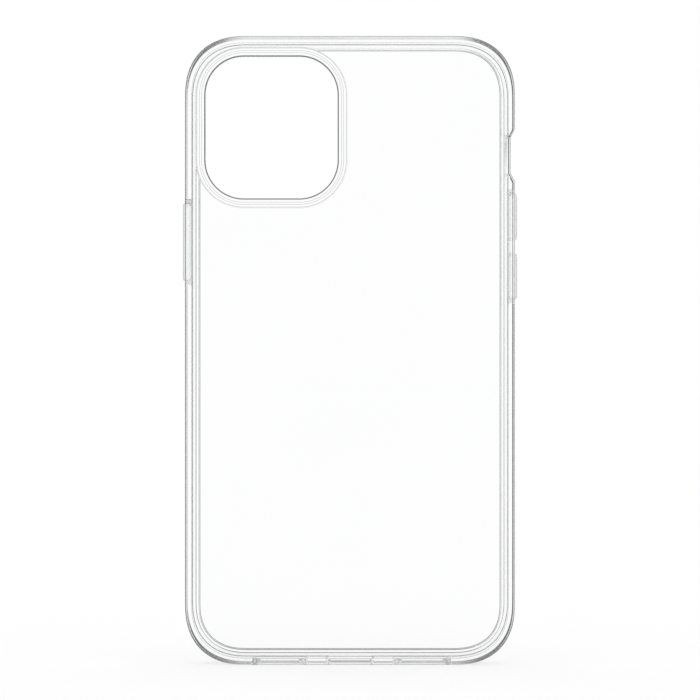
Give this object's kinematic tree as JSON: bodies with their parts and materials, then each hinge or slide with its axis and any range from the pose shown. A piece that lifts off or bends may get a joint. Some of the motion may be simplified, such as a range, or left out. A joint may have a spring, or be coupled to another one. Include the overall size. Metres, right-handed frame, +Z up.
{
  "type": "phone case",
  "caption": "Clear slim phone case: soft bumper frame round a hard back plate, raised camera guard, press buttons and open ports.",
  "frame": {"origin": "middle of the bottom edge that the case stands on", "axes": "+Z up along the case's length, +Y towards the open side that the phone goes in by, +X towards the volume buttons"},
  "size_m": [0.08, 0.0114, 0.1498],
  "materials": {
    "soft_clear": "gloss",
    "hard_clear": "polished",
    "button_clear": "gloss"
  },
  "bodies": {
    "case": {"bumper_frame": "soft_clear", "back_plate": "hard_clear", "camera_guard": "soft_clear", "power_button_web": "soft_clear", "volume_button_web": "soft_clear"},
    "power_key": {"power_button": "button_clear"},
    "volume_up_key": {"volume_up_button": "button_clear"},
    "volume_down_key": {"volume_down_button": "button_clear"}
  },
  "joints": [
    {"name": "power_press", "type": "slide", "parent": "case", "child": "power_key", "axis": [1, 0, 0], "range_m": [0, 0.0005], "stiffness_N_per_m": 3000},
    {"name": "volume_up_press", "type": "slide", "parent": "case", "child": "volume_up_key", "axis": [-1, 0, 0], "range_m": [0, 0.0005], "stiffness_N_per_m": 3000},
    {"name": "volume_down_press", "type": "slide", "parent": "case", "child": "volume_down_key", "axis": [-1, 0, 0], "range_m": [0, 0.0005], "stiffness_N_per_m": 3000}
  ]
}
